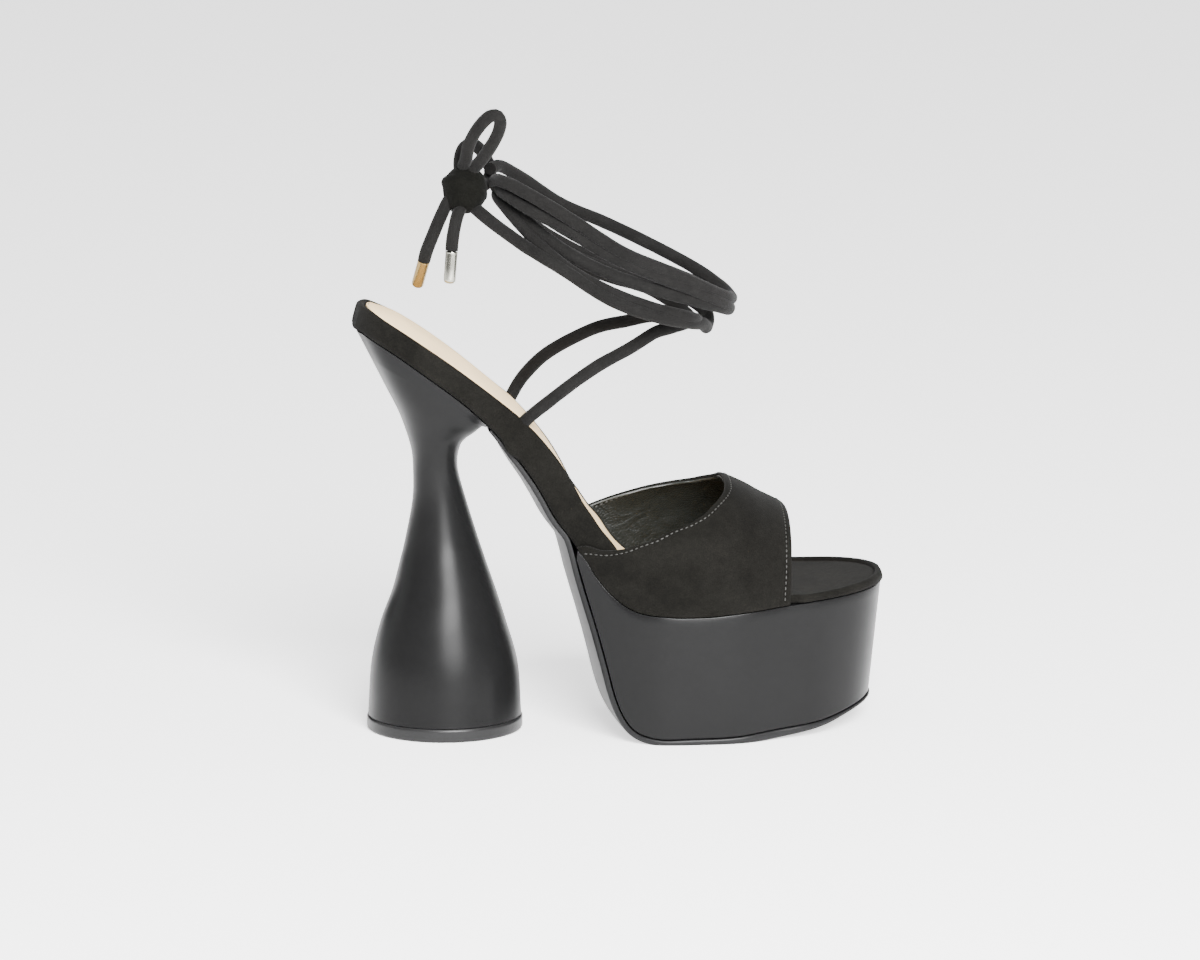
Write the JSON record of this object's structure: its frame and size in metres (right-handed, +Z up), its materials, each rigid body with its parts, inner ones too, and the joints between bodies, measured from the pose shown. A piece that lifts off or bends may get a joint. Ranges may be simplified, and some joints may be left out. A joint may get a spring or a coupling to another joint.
{
  "type": "platform shoe",
  "caption": "Right platform sandal with a waisted block heel, a broad open-toe forefoot band, a cushioned footbed and long cord ties wound at the ankle and tied in a bow.",
  "frame": {"origin": "centre of the shoe's bounding box in plan, on the floor, with the free bow and ends left out", "axes": "+X from heel to toe, +Y to the inner side of the foot, +Z up from the floor"},
  "size_m": [0.2061, 0.0854, 0.2444],
  "materials": {
    "outsole": "smooth, low sheen, dark grey",
    "platform_cover": "smooth satin black cover",
    "heel_cover": "smooth satin black cover",
    "top_piece": "matte black",
    "footbed_suede": "matte black suede",
    "sock_leather": "matte cream lining leather",
    "upper_suede": "matte black suede",
    "cord_suede": "matte black suede cord",
    "aglet_gold": "polished warm metal",
    "aglet_silver": "polished metal"
  },
  "bodies": {
    "root": {"outsole": "outsole", "platform": "platform_cover", "heel": "heel_cover", "heel_top_piece": "top_piece", "footbed": "footbed_suede", "sock": "sock_leather", "vamp": "upper_suede", "ankle_tie": "cord_suede", "tie_knot": "cord_suede", "bow_loop_near": "cord_suede", "bow_loop_far": "cord_suede", "tie_end_outer": "cord_suede", "tie_end_inner": "cord_suede", "aglet_outer": "aglet_gold", "aglet_inner": "aglet_silver"}
  },
  "joints": []
}
